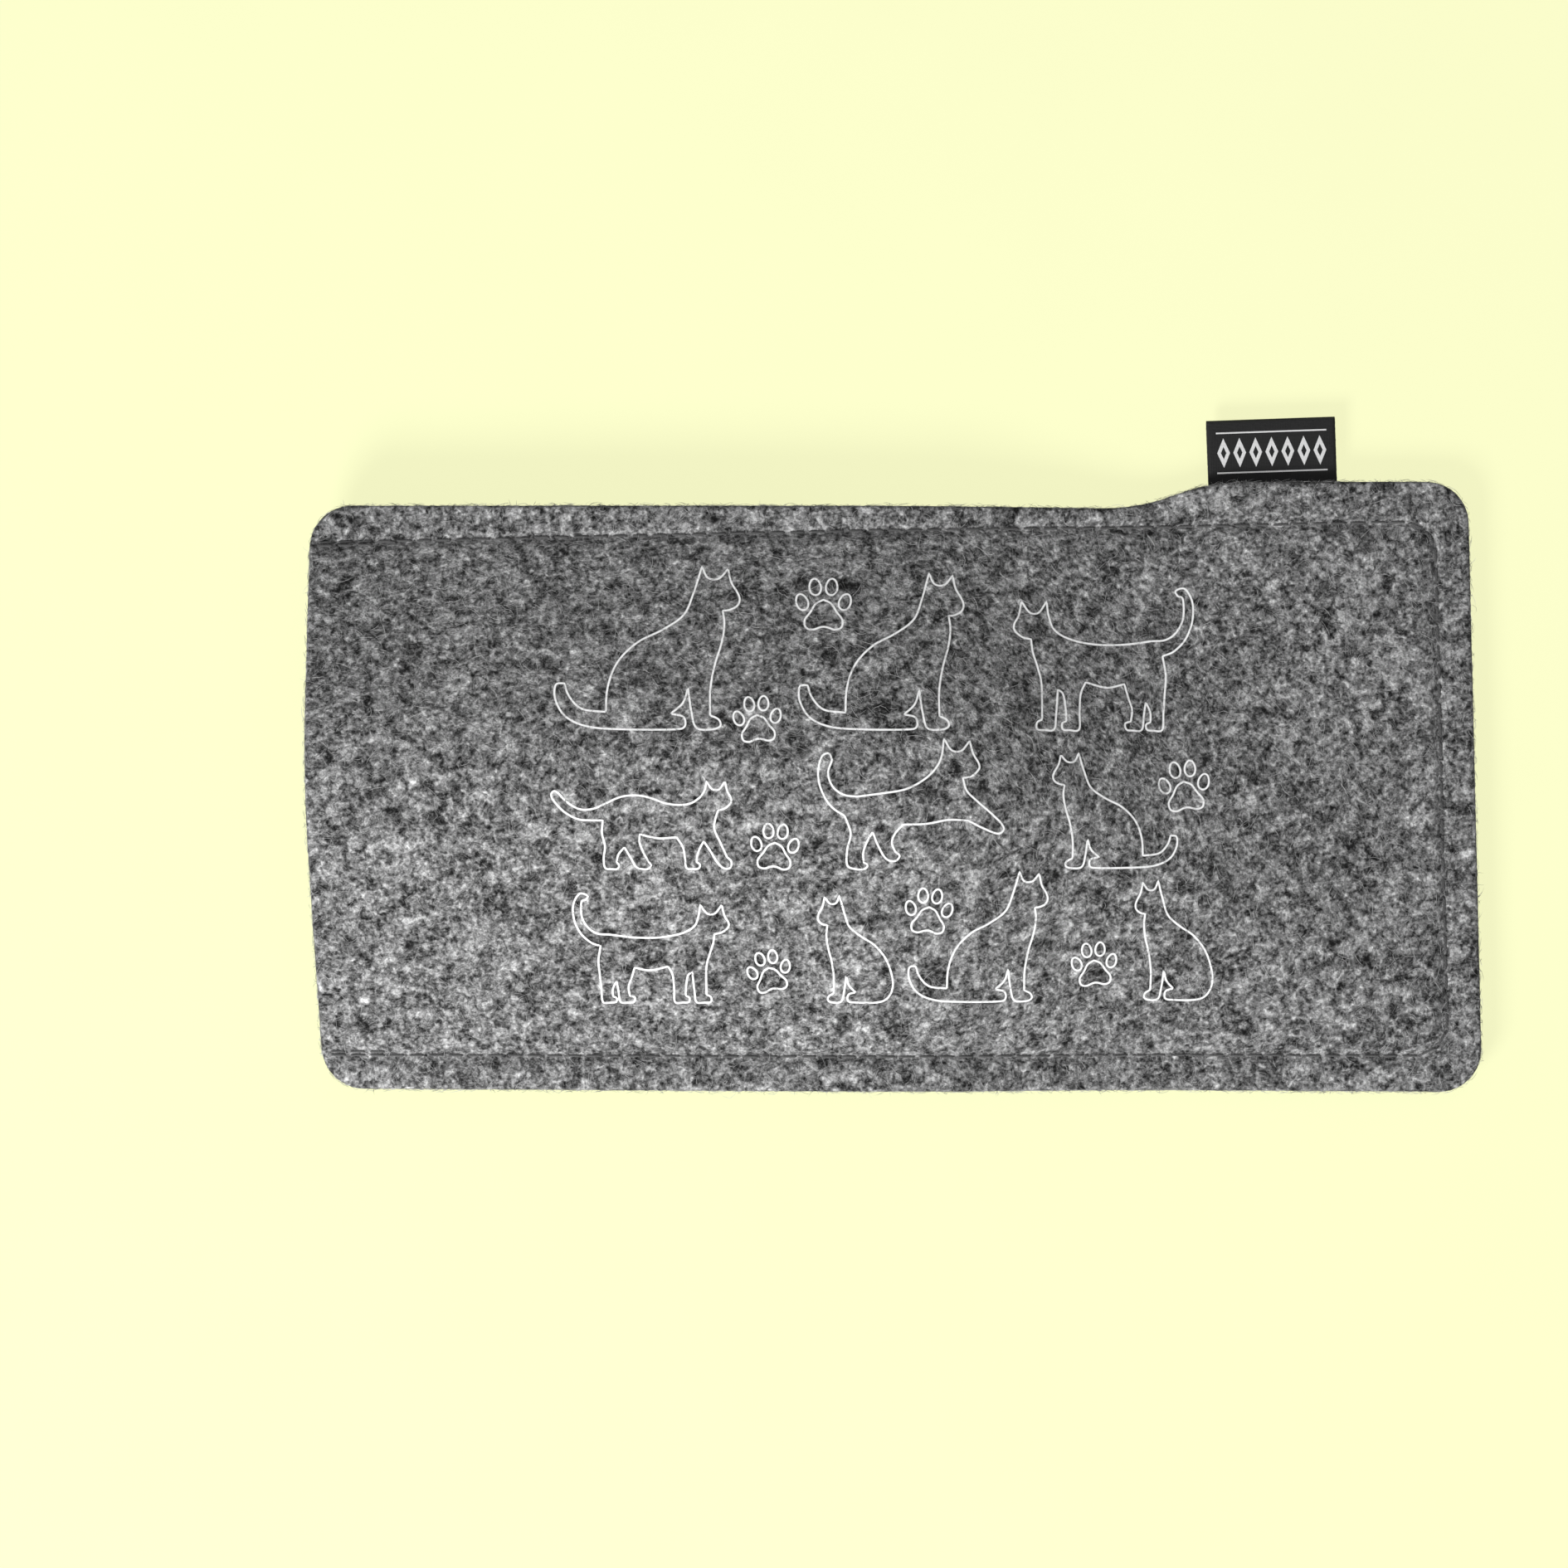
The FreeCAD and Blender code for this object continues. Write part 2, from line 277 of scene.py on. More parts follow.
def corner_arc(before, corner, after, radius):
    """The tangent arc that rounds one corner of a plan path, as points."""
    before, corner, after = (np.array(p, float) for p in (before, corner, after))
    to_before = (before - corner) / np.linalg.norm(before - corner)
    to_after = (after - corner) / np.linalg.norm(after - corner)
    half = 0.5 * np.arccos(np.dot(to_before, to_after))
    middle = (to_before + to_after) / np.linalg.norm(to_before + to_after)
    centre = corner + middle * radius / sin(half)
    start = corner + to_before * radius / np.tan(half) - centre
    end = corner + to_after * radius / np.tan(half) - centre
    turn = atan2(start[0] * end[1] - start[1] * end[0], np.dot(start, end))
    return [
        centre + start * cos(turn * t) + np.array([-start[1], start[0]]) * sin(turn * t)
        for t in np.linspace(0, 1, CORNER_POINTS)
    ]


def seam_path(spacing):
    """Along the top side from the mouth, round the closed end and back along the bottom side."""
    top_start = (mouth_x(SEAM_TOP_Y[0]) + FIRST_HOLE, SEAM_TOP_Y[0])
    top_end = (end_x(SEAM_TOP_Y[1]) - END_SEAM_INSET, SEAM_TOP_Y[1])
    bottom_end = (end_x(SEAM_BOTTOM_Y[1]) - END_SEAM_INSET, SEAM_BOTTOM_Y[1])
    bottom_start = (mouth_x(SEAM_BOTTOM_Y[0]) + FIRST_HOLE, SEAM_BOTTOM_Y[0])
    corners = [
        [np.array(top_start)],
        corner_arc(top_start, top_end, bottom_end, SEAM_CORNER_R),
        corner_arc(top_end, bottom_end, bottom_start, SEAM_CORNER_R),
        [np.array(bottom_start)],
    ]
    path = np.array([p for part in corners for p in part])
    length = arc_lengths(path)[-1]
    return spread_along(path, np.linspace(0, length, int(round(length / spacing)) + 1))


TREE_STEP = 0.1 * MM
SEAM_TREE = tree_of(seam_path(TREE_STEP))
HOLE_TREE = tree_of(seam_path(STITCH))


# -------- felt
ROW_SPACING = 0.866  # of the step, so that the triangles come out even
RING_SPACING = 0.9  # of the step, along a ring
ROOM = 0.55  # of the step, between the grid and the rings or the seam


def seam_pull(x, y):
    """How deep the seam draws the felt in at a plan point."""
    to_seam = SEAM_TREE.find((x, y, 0.0))[2]
    to_hole = HOLE_TREE.find((x, y, 0.0))[2]
    groove = GROOVE_DEPTH * exp(-((to_seam / GROOVE_WIDTH) ** 2))
    return groove + HOLE_DEPTH * exp(-((to_hole / HOLE_WIDTH) ** 2))


def lumps(x, y, seed):
    """How high the fibre mat's lumps stand at a plan point."""
    p = Vector((x / MM, y / MM, seed))
    return MM * sum(depth * noise.noise(p / size) for depth, size in LUMPS)


def dent(x, y, seed):
    """How high the broad dents leave a plan point."""
    p = Vector((x / MM, y / MM, seed))
    return DENT_DEPTH * noise.noise(p / DENT_SIZE)


def edge_drop(inset, radius):
    """How far a surface falls beside a rounded edge."""
    t = np.maximum(radius - inset, 0.0)
    return radius - np.sqrt(radius**2 - t**2)


def face_points(outline, step, rings, seam_rings):
    """Plan points for one felt face: rings inside its edge, rings along the seam, then an even grid."""
    margin = max(rings)
    edge = [resampled(offset(outline, d, True), RING_SPACING * step) for d in rings]
    seam = np.vstack([offset(seam_path(STITCH / 5), d, False) for d in seam_rings])
    seam = seam[inside_loop(seam, offset(outline, margin + 0.3 * MM, True))]
    low, high = outline.min(0), outline.max(0)
    ys = np.arange(low[1], high[1], step * ROW_SPACING)
    xs = np.arange(low[0], high[0], step)
    grid = np.array([(x + (0.5 * step if j % 2 else 0.0), y) for j, y in enumerate(ys) for x in xs])
    grid = grid[inside_loop(grid, offset(outline, margin + ROOM * step, True))]
    grid = grid[distances(tree_of(seam), grid) > ROOM * step]
    return np.vstack(edge + [seam, grid])


def triangulated(outline, points):
    """Triangles over the outline and the points in it, with the new places of the outline's points."""
    ring = list(range(len(outline)))
    everything = [Vector(p) for p in np.vstack([outline, points])]
    verts, _, faces, sources, _, _ = delaunay_2d_cdt(everything, [], [ring], 1, 1e-7)
    place = {old: new for new, olds in enumerate(sources) for old in olds}
    return np.array([(v.x, v.y) for v in verts]), np.array(faces), [place[i] for i in ring]


class Felt:
    """One felt panel as a closed mesh: a fine outer face, a plainer inner face and the cut edge."""

    WALL_ROWS = 5
    OUTER_SEED, INNER_SEED = 40.0, 90.0
    LYING = 0.12 * MM  # the back is drawn up by this much, so that its lumps clear the floor
    LIFTED = (0.2 * MM, 2.0 * MM)  # the back's dents begin and are whole where it is this far off the floor

    def __init__(self, node, side):
        self.side = side
        self.heights = PanelHeights(node)
        self.outer_grid = self.heights.upper if side > 0 else self.heights.lower
        self.inner_grid = self.heights.lower if side > 0 else self.heights.upper
        self.outline = panel_outline(node, 0.6 * MM)
        self.rim_tree = tree_of(resampled(self.outline, TREE_STEP))

    def outer_z(self, points):
        """Heights of the outer face at plan points."""
        x, y = points[:, 0], points[:, 1]
        inset = distances(self.rim_tree, points)
        pull = np.array([seam_pull(*p) for p in points])
        seed = self.OUTER_SEED * self.side
        relief = np.array([lumps(*p, seed) for p in points])
        dents = np.array([dent(*p, seed) for p in points])
        base = self.heights.at(self.outer_grid, x, y)
        if self.side > 0:
            return base + relief + dents - pull - edge_drop(inset, EDGE_ROUND)
        lifted = smooth(base, *self.LIFTED)
        lying = base + self.LYING + relief
        return np.maximum(lying - dents * lifted + pull + edge_drop(inset, EDGE_ROUND), 0.0)

    def inner_z(self, points):
        """Heights of the inner face at plan points: flat where the panels meet, lumpy in the pocket."""
        x, y = points[:, 0], points[:, 1]
        inset = distances(self.rim_tree, points)
        to_seam = distances(SEAM_TREE, points)
        relief = np.array([lumps(*p, self.INNER_SEED * self.side) for p in points])
        relief *= smooth(to_seam, 1.0 * MM, 5.0 * MM) * self.in_pocket(x, y)
        base = self.heights.at(self.inner_grid, x, y)
        return base + self.side * edge_drop(inset, INNER_EDGE_ROUND) + relief

    def in_pocket(self, x, y):
        """1 inside the seam's three sides, 0 on the flange outside them."""
        return ((y < SEAM_TOP_Y[0]) & (y > SEAM_BOTTOM_Y[0]) & (x < end_x(y) - END_SEAM_INSET)).astype(float)

    def outer_face(self):
        """Points, triangles and rim of the outer face, finest along the cut edge and the seam."""
        rings = [d * MM for d in (0.08, 0.25, 0.55, 1.0, 1.6)]
        seam_rings = [d * MM for d in (-1.2, -0.6, 0.0, 0.6, 1.2)]
        points = face_points(self.outline, FELT_STEP, rings, seam_rings)
        plan, faces, ring = triangulated(self.outline, points)
        return np.column_stack([plan, self.outer_z(plan)]), faces[:, ::self.side], ring

    def inner_face(self):
        """The same for the inner face, from fewer points."""
        points = face_points(self.outline, PLAIN_STEP, [d * MM for d in (0.12, 0.3, 1.0)], [0.0])
        plan, faces, ring = triangulated(self.outline, points)
        return np.column_stack([plan, self.inner_z(plan)]), faces[:, ::-self.side], ring

    def build(self, name, material, edge_material):
        """The finished panel. Its rows of edge vertices run from the outer face's rim to the inner face's."""
        outer, outer_faces, outer_ring = self.outer_face()
        inner, inner_faces, inner_ring = self.inner_face()
        walls = self.cut_edge(outer[outer_ring], inner[inner_ring])
        first_inner, first_wall = len(outer), len(outer) + len(inner)
        count = len(outer_ring)
        rows = [np.array(outer_ring)]
        rows += [first_wall + r * count + np.arange(count) for r in range(self.WALL_ROWS)]
        rows += [first_inner + np.array(inner_ring)]
        edge_faces = self.wall_quads(rows)
        halves = [t for a, b, c, d in edge_faces for t in ((a, b, c), (a, c, d))]
        self.bvh = BVHTree.FromPolygons([Vector(v) for v in outer], [tuple(map(int, f)) for f in outer_faces])
        self.verts, self.outer_faces = np.vstack([outer, inner, walls]), outer_faces
        self.inner_faces, self.edge_faces = inner_faces + first_inner, np.array(halves)
        faces = list(self.outer_faces) + list(self.inner_faces) + edge_faces
        made = mesh_object(name, self.verts, faces, [material, edge_material])
        slots = np.zeros(len(faces), np.int32)
        slots[-len(edge_faces):] = 1
        made.data.polygons.foreach_set("material_index", slots)
        return made

    def face_z(self, x, y):
        """The height of the finished outer face at a plan point inside the outline."""
        away = Vector((x, y, 0.1 * self.side))
        return self.bvh.ray_cast(away, Vector((0, 0, -self.side)))[0].z

    def cut_edge(self, outer, inner):
        """Rows of points down the cut edge, a little uneven where the fibres were pressed apart."""
        rows = []
        out = -(offset(self.outline, 1.0, True) - self.outline)
        for r in range(self.WALL_ROWS):
            t = (r + 1) / (self.WALL_ROWS + 1)
            row = outer * (1 - t) + inner * t
            for i, p in enumerate(row):
                push = sum(depth * noise.noise(Vector(p) / wave) for depth, wave in EDGE_WAVES)
                row[i, :2] += out[i] * push
            rows.append(row)
        return np.vstack(rows)

    def wall_quads(self, rows):
        """Quads between the rows of the cut edge."""
        quads = []
        for upper, lower in zip(rows[:-1], rows[1:]):
            following, below = np.roll(upper, -1), np.roll(lower, -1)
            for a, b, c, d in zip(upper, following, below, lower):
                quads.append((a, d, c, b) if self.side > 0 else (a, b, c, d))
        return quads


# -------- loose fibres on the felt
class Fibres:
    """Thin bent fibres lying in a felt face or standing off a cut edge: spindles with three sides."""

    STEPS = (-0.5, -0.28, 0.0, 0.28, 0.5)  # a tip, three rings and a tip
    VERTS, TRIANGLES = 11, 18
    BEND = 0.22  # how far a fibre bends sideways, as a share of its length

    def __init__(self, seed):
        self.random = np.random.default_rng(seed)

    def on_faces(self, verts, faces, count):
        """Random points on triangles, with their normals."""
        a, b, c = (verts[faces[:, k]] for k in range(3))
        cross = np.cross(b - a, c - a)
        area = np.linalg.norm(cross, axis=1)
        chosen = self.random.choice(len(faces), count, p=area / area.sum())
        u, v = self.random.random(count), self.random.random(count)
        over = u + v > 1
        u[over], v[over] = 1 - u[over], 1 - v[over]
        points = a[chosen] + u[:, None] * (b - a)[chosen] + v[:, None] * (c - a)[chosen]
        return points, cross[chosen] / area[chosen][:, None]

    def spindles(self, points, normals, length, lift, stray):
        """Vertices and triangles of one fibre per point, in a random direction along the surface. Its middle
        arches up to lift off the surface, and one end up to stray."""
        count = len(points)
        way = self.random.normal(size=(count, 3))
        way -= normals * (way * normals).sum(1)[:, None]
        way /= np.linalg.norm(way, axis=1)[:, None]
        side = np.cross(normals, way)
        size = length * (0.5 + self.random.random(count))
        bend = self.random.normal(0, self.BEND, count)
        thick = FIBRE_R * (0.7 + 0.6 * self.random.random(count))
        rise = lift * self.random.random(count)
        end = stray * self.random.random(count) ** 3
        rows = []
        for t in self.STEPS:
            arch = 1 - 4 * t * t
            centre = points + way * (size * t)[:, None] + side * (size * bend * arch)[:, None]
            rows.append(centre + normals * (rise * arch + end * (t + 0.5) - FIBRE_SUNK)[:, None])
        verts = np.empty((count, self.VERTS, 3))
        verts[:, 0], verts[:, -1] = rows[0], rows[-1]
        for r in (1, 2, 3):
            for k in range(3):
                turn = 2 * pi * k / 3
                shift = normals * (thick * cos(turn))[:, None] + side * (thick * sin(turn))[:, None]
                verts[:, 3 * r - 2 + k] = rows[r] + shift
        under_floor = np.minimum(verts[:, :, 2].min(axis=1), 0.0)
        verts[:, :, 2] -= under_floor[:, None]
        return verts.reshape(-1, 3), self.triangles(count)

    def triangles(self, count):
        """The triangles of count spindles: a fan at each tip, and bands between the three rings."""
        one = []
        for k in range(3):
            n = (k + 1) % 3
            one += [(0, 1 + k, 1 + n), (7 + k, self.VERTS - 1, 7 + n)]
            for ring in (1, 4):
                one += [(ring + k, ring + 3 + k, ring + 3 + n), (ring + k, ring + 3 + n, ring + n)]
        return (np.arange(count)[:, None, None] * self.VERTS + np.array(one)[None]).reshape(-1, 3)

    def build(self, name, verts, faces, materials):
        made = mesh_object(name, verts, faces, materials)
        shade = self.random.choice(len(materials), len(faces) // self.TRIANGLES, p=FIBRE_SHARES)
        made.data.polygons.foreach_set("material_index", np.repeat(shade, self.TRIANGLES).astype(np.int32))
        return made


# -------- sewing thread
def tube(points, radius, sides):
    """A closed tube along points, its ends closed by caps."""
    along = np.gradient(points, axis=0)
    along /= np.linalg.norm(along, axis=1)[:, None]
    first = np.cross(along, np.array([0.31, 0.52, 0.79]))
    first /= np.linalg.norm(first, axis=1)[:, None]
    second = np.cross(along, first)
    turns = 2 * pi * np.arange(sides) / sides
    rings = [points + radius * (first * cos(a) + second * sin(a)) for a in turns]
    verts = np.stack(rings, axis=1).reshape(-1, 3)
    faces = []
    for r in range(len(points) - 1):
        for k in range(sides):
            n = (k + 1) % sides
            faces.append((r * sides + k, r * sides + n, (r + 1) * sides + n, (r + 1) * sides + k))
    faces.append(tuple(reversed(range(sides))))
    faces.append(tuple((len(points) - 1) * sides + k for k in range(sides)))
    return verts, faces


def stitch_line(felt, start, end):
    """One stitch's centreline: up out of a hole, along the seam's groove and down into the next hole."""
    t = np.linspace(0, 1, 25)
    plan = start + t[:, None] * (end - start)
    ground = np.array([felt.face_z(x, y) for x, y in plan])
    lying = np.polyval(np.polyfit(t[3:-3], ground[3:-3], 2), t)  # without the dents at the two holes
    dive = np.exp(-((t / DIVE_SHARE) ** 2)) + np.exp(-(((1 - t) / DIVE_SHARE) ** 2))
    z = np.maximum(lying + felt.side * STITCH_PROUD, STITCH_CLEAR)
    return np.column_stack([plan, z - felt.side * STITCH_DIVE * dive])


def seam_runs():
    """The two holes of every stitch: the whole seam, then the backtacks just inside it."""
    holes = seam_path(STITCH)
    runs = list(zip(holes[:-1], holes[1:]))
    shift = np.array([0.0, BACKTACK_SHIFT])
    at_top = [(a - shift, b - shift) for a, b in runs[:BACKTACK_STITCHES]]
    at_bottom = [(a + shift, b + shift) for a, b in runs[-BACKTACK_STITCHES:]]
    return runs + at_top + at_bottom


def sewing_thread(name, felt, material, seed):
    """Every stitch on one face, each of three strands twisted together."""
    random = np.random.default_rng(seed)
    verts, faces, used = [], [], 0
    for a, b in seam_runs():
        ends = np.array([a, b])
        middle = 0.5 * (ends[0] + ends[1])
        shorter = (ends - middle) * (1 - STITCH_GAP / np.linalg.norm(ends - middle, axis=1)[:, None])
        plan = middle + shorter + random.normal(0, STITCH_WANDER, (2, 2))
        line = stitch_line(felt, *plan)
        along = (line[-1] - line[0]) / np.linalg.norm(line[-1] - line[0])
        flat = np.cross(along, (0, 0, 1))
        flat /= np.linalg.norm(flat)
        rise = np.cross(flat, along)
        start_turn = random.random() * 2 * pi
        travelled = arc_lengths(line)
        for strand in range(STRANDS):
            turn = start_turn + 2 * pi * (strand / STRANDS + travelled / STRAND_PITCH)
            twist = np.cos(turn)[:, None] * flat + np.sin(turn)[:, None] * rise
            strand_verts, strand_faces = tube(line + STRAND_OFFSET * twist, STRAND_R, 6)
            verts.append(strand_verts)
            faces += [tuple(i + used for i in f) for f in strand_faces]
            used += len(strand_verts)
    return mesh_object(name, np.vstack(verts), faces, [material])


# -------- woven label
def label_line():
    """The folded label's mid line in its own (y, z) plane, from one cut end round the fold to the other."""
    ply = LABEL_PLY / 2 + 0.02 * MM  # each ply's middle from the mid plane, between the panels
    t = np.linspace(0, 1, 40)
    inside = np.column_stack([-LABEL_IN + LABEL_IN * t, np.full(40, ply)])
    reach = LABEL_PROUD - LABEL_SPREAD - LABEL_PLY / 2
    outside = np.column_stack([reach * t[1:], ply + (LABEL_SPREAD - ply) * smooth(t[1:], 0.0, 1.0)])
    turns = np.linspace(pi / 2, 0, 10)[1:]
    fold = np.column_stack([reach + LABEL_SPREAD * np.cos(turns), LABEL_SPREAD * np.sin(turns)])
    upper = np.vstack([inside, outside, fold])
    lower = upper[:-1][::-1] * np.array([1.0, -1.0])
    return np.vstack([upper, lower])


def label_points(line, across):
    """The points of the tape's two faces, and where each is across and along the tape, in millimetres."""
    at = arc_lengths(line)
    along = np.gradient(line, axis=0)
    along /= np.linalg.norm(along, axis=1)[:, None]
    normal = np.column_stack([-along[:, 1], along[:, 0]])
    c, s = cos(LABEL_TURN), sin(LABEL_TURN)
    verts, where = [], []
    for face in (1, -1):
        for k, (p, n) in enumerate(zip(line, normal)):
            y, z = p + n * face * LABEL_PLY / 2
            for u in across:
                thin = 1 - 0.25 * smooth(abs(u), 0.47, 0.5)  # at the selvedges
                wave = 0.10 * MM * noise.noise(Vector((u * 3, at[k] * 120, 5.0))) * smooth(p[0], 0.0, 4 * MM)
                ragged = 0.04 * MM * noise.noise(Vector((at[k] * 2200, 9.0 * (u > 0), 2.0))) * (abs(u) > 0.45)
                x = u * LABEL_W + ragged
                zz = p[1] + (z - p[1]) * thin + wave
                verts.append((LABEL_MID.x + x * c - y * s, LABEL_MID.y + x * s + y * c, LABEL_MID.z + zz))
                where.append((u * LABEL_W / MM, (at[k] - at[-1] / 2) / MM))
    return verts, where


def label_faces(rows, columns):
    """Quads over both faces of the tape, its two long edges and its two cut ends."""
    def vertex(face, row, column):
        return face * rows * columns + row * columns + column

    faces = []
    for r in range(rows - 1):
        for k in range(columns - 1):
            faces.append((vertex(0, r, k), vertex(0, r, k + 1), vertex(0, r + 1, k + 1), vertex(0, r + 1, k)))
            faces.append((vertex(1, r, k), vertex(1, r + 1, k), vertex(1, r + 1, k + 1), vertex(1, r, k + 1)))
        for k, flip in ((0, False), (columns - 1, True)):
            quad = (vertex(0, r, k), vertex(0, r + 1, k), vertex(1, r + 1, k), vertex(1, r, k))
            faces.append(quad[::-1] if flip else quad)
    last = rows - 1
    for k in range(columns - 1):
        faces.append((vertex(0, 0, k), vertex(1, 0, k), vertex(1, 0, k + 1), vertex(0, 0, k + 1)))
        faces.append((vertex(0, last, k), vertex(0, last, k + 1), vertex(1, last, k + 1), vertex(1, last, k)))
    return faces


def woven_label(material):
    """One strip of woven tape, folded, with a UV map of millimetres across and along it."""
    line = label_line()
    across = np.linspace(-0.5, 0.5, 41)
    verts, where = label_points(line, across)
    made = mesh_object("woven_label", verts, label_faces(len(line), len(across)), [material])
    layer = made.data.uv_layers.new(name="weave_mm")
    for loop in made.data.loops:
        layer.data[loop.index].uv = where[loop.vertex_index]
    return made


# -------- the print
# Each outline is a closed loop of smooth runs that meet at corners, in heights of the figure. A run starts
# where the run before it ends.
SITTING = (
    ((0.865, 1.0), (0.90, 0.93), (0.965, 0.925), (1.02, 0.985)),
    ((1.04, 0.90), (1.075, 0.84), (1.09, 0.795), (1.075, 0.755), (1.03, 0.73), (0.99, 0.725)),
    ((1.00, 0.64), (0.985, 0.53), (0.945, 0.39), (0.92, 0.24), (0.92, 0.085)),
    ((0.97, 0.06), (0.98, 0.02), (0.93, 0.0), (0.84, 0.01), (0.81, 0.11), (0.79, 0.25)),
    ((0.76, 0.16), (0.69, 0.095)),
    ((0.765, 0.075), (0.77, 0.015), (0.70, 0.0), (0.45, 0.0), (0.22, 0.015), (0.08, 0.075), (0.015, 0.18),
     (0.015, 0.27), (0.065, 0.28)),
    ((0.095, 0.20), (0.17, 0.125), (0.31, 0.105)),
    ((0.32, 0.26), (0.375, 0.41), (0.49, 0.53), (0.64, 0.61), (0.76, 0.70), (0.815, 0.83), (0.865, 1.0)),
)
UPRIGHT = SITTING[:5] + (
    ((0.765, 0.075), (0.77, 0.015), (0.70, 0.0), (0.46, 0.0), (0.35, 0.045), (0.30, 0.15), (0.32, 0.28),
     (0.385, 0.42), (0.50, 0.54), (0.64, 0.62), (0.76, 0.71), (0.815, 0.84), (0.865, 1.0)),
)
STANDING = (
    ((1.02, 0.86), (1.075, 0.785), (1.135, 0.785), (1.19, 0.86)),
    ((1.21, 0.765), (1.24, 0.71), (1.24, 0.665), (1.19, 0.62), (1.13, 0.605)),
    ((1.12, 0.52), (1.09, 0.42), (1.065, 0.30), (1.065, 0.07)),
    ((1.10, 0.05), (1.10, 0.005), (1.05, 0.0), (0.985, 0.005), (0.97, 0.10), (0.955, 0.27)),
    ((0.92, 0.24), (0.905, 0.15), (0.90, 0.06)),
    ((0.93, 0.045), (0.925, 0.005), (0.88, 0.0), (0.815, 0.005), (0.81, 0.12), (0.80, 0.24), (0.765, 0.32)),
    ((0.62, 0.285), (0.50, 0.31)),
    ((0.475, 0.22), (0.45, 0.14), (0.46, 0.06)),
    ((0.50, 0.045), (0.49, 0.005), (0.45, 0.0), (0.385, 0.005), (0.37, 0.10), (0.355, 0.19)),
    ((0.325, 0.12), (0.325, 0.055)),
    ((0.355, 0.04), (0.35, 0.005), (0.31, 0.0), (0.245, 0.005), (0.235, 0.12), (0.225, 0.24), (0.215, 0.37),
     (0.235, 0.50)),
    ((0.16, 0.53), (0.08, 0.61), (0.03, 0.73), (0.025, 0.86), (0.075, 0.955), (0.14, 0.94), (0.125, 0.905)),
    ((0.09, 0.885), (0.09, 0.76), (0.135, 0.665), (0.21, 0.61), (0.31, 0.60)),
    ((0.50, 0.575), (0.70, 0.575), (0.87, 0.61), (0.97, 0.67), (1.005, 0.755), (1.02, 0.86)),
)
PROWLING = (
    ((1.62, 0.88), (1.68, 0.80), (1.75, 0.80), (1.81, 0.88)),
    ((1.835, 0.78), (1.87, 0.715), (1.87, 0.665), (1.81, 0.61), (1.74, 0.59)),
    ((1.71, 0.50), (1.70, 0.40), (1.76, 0.27), (1.83, 0.12)),
    ((1.875, 0.075), (1.86, 0.01), (1.79, 0.01), (1.72, 0.08), (1.66, 0.18), (1.59, 0.28)),
    ((1.545, 0.20), (1.52, 0.12), (1.515, 0.07)),
    ((1.55, 0.045), (1.535, 0.005), (1.48, 0.0), (1.41, 0.01), (1.395, 0.11), (1.375, 0.22), (1.31, 0.32)),
    ((1.12, 0.31), (0.93, 0.35)),
    ((0.93, 0.26), (0.97, 0.16), (1.02, 0.07)),
    ((1.045, 0.035), (1.01, 0.0), (0.95, 0.0), (0.89, 0.02), (0.83, 0.12), (0.77, 0.22)),
    ((0.71, 0.15), (0.685, 0.07)),
    ((0.715, 0.035), (0.69, 0.0), (0.64, 0.0), (0.57, 0.01), (0.555, 0.11), (0.57, 0.23), (0.54, 0.36),
     (0.55, 0.49)),
    ((0.44, 0.49), (0.30, 0.50), (0.16, 0.57), (0.05, 0.68), (0.02, 0.75), (0.055, 0.785), (0.10, 0.755)),
    ((0.19, 0.665), (0.32, 0.60), (0.45, 0.605), (0.56, 0.65)),
    ((0.76, 0.73), (0.98, 0.73), (1.22, 0.655), (1.42, 0.65), (1.54, 0.71), (1.60, 0.79), (1.62, 0.88)),
)
LEAPING = (
    ((0.97, 0.98), (1.025, 0.895), (1.10, 0.89), (1.165, 0.965)),
    ((1.19, 0.87), (1.23, 0.80), (1.235, 0.755), (1.18, 0.70), (1.11, 0.685)),
    ((1.14, 0.59), (1.22, 0.51), (1.32, 0.425), (1.40, 0.35)),
    ((1.425, 0.30), (1.38, 0.265), (1.27, 0.305), (1.15, 0.365)),
    ((1.00, 0.37), (0.83, 0.34), (0.66, 0.335)),
    ((0.60, 0.27), (0.575, 0.20), (0.60, 0.13)),
    ((0.635, 0.10), (0.60, 0.06), (0.53, 0.08), (0.47, 0.18), (0.43, 0.28)),
    ((0.385, 0.20), (0.36, 0.12), (0.365, 0.05)),
    ((0.395, 0.03), (0.37, 0.0), (0.30, 0.0), (0.24, 0.03), (0.24, 0.15), (0.265, 0.27), (0.22, 0.40)),
    ((0.12, 0.47), (0.05, 0.58), (0.02, 0.71), (0.045, 0.84), (0.10, 0.87), (0.125, 0.82)),
    ((0.095, 0.72), (0.13, 0.62), (0.21, 0.56), (0.31, 0.545)),
    ((0.50, 0.57), (0.69, 0.605), (0.85, 0.70), (0.94, 0.82), (0.97, 0.98)),
)
PAD = (
    ((0.50, 0.57), (0.64, 0.50), (0.74, 0.34), (0.84, 0.20), (0.82, 0.06), (0.70, 0.02), (0.58, 0.06),
     (0.50, 0.075), (0.42, 0.06), (0.30, 0.02), (0.18, 0.06), (0.16, 0.20), (0.26, 0.34), (0.36, 0.50),
     (0.50, 0.57)),
)
TOES = ((0.11, 0.53, 20), (0.35, 0.81, 6), (0.65, 0.81, -6), (0.89, 0.53, -20))  # centre and turn
TOE_SIZE = (0.105, 0.155)
PAW_MIDDLE = (0.5, 0.45)

